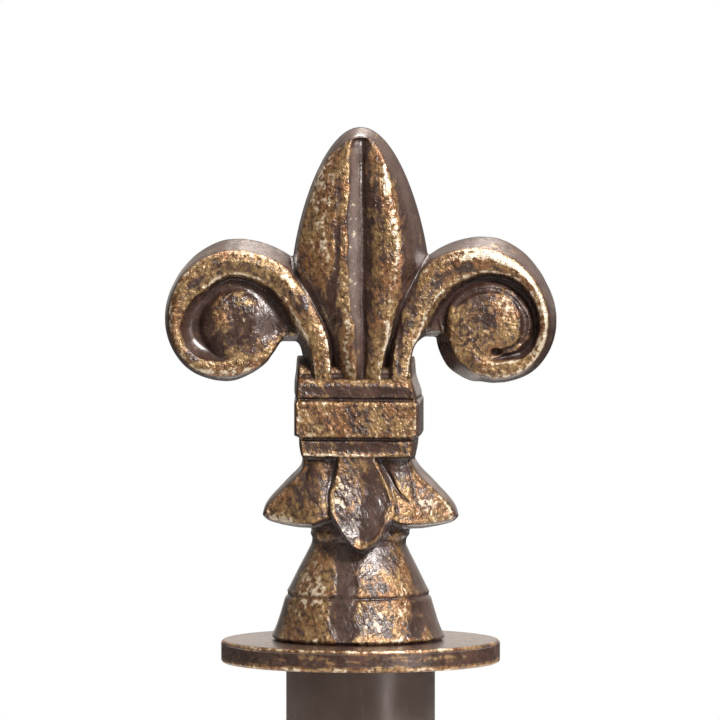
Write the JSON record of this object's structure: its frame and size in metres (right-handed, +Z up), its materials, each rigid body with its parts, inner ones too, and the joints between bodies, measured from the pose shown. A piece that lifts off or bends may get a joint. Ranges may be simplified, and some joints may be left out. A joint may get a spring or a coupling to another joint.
{
  "type": "fleur-de-lis post finial",
  "caption": "Cast fleur-de-lis finial on a round plate, with a sleeve below it that slips over the end of a round post.",
  "frame": {"origin": "centre of the sleeve's open end, where the finial stands", "axes": "+Z up through the petal's tip, +X to the right-hand scroll, and the flower's face looks along -Y"},
  "size_m": [0.1008, 0.0714, 0.1772],
  "materials": {
    "rubbed_bronze_casting": "dark brown base coat rubbed with gold on the raised parts, satin",
    "rubbed_bronze_plate": "dark brown base coat with gold rubbed on the rim, satin",
    "dark_bronze_sleeve": "plain dark brown powder coat, satin",
    "zinc_screw": "zinc-plated steel",
    "dark_set_screw": "blackened steel"
  },
  "bodies": {
    "root": {"fleur_casting": "rubbed_bronze_casting", "round_plate": "rubbed_bronze_plate", "post_sleeve": "dark_bronze_sleeve", "plate_screw": "zinc_screw", "set_screw": "dark_set_screw"}
  },
  "joints": []
}
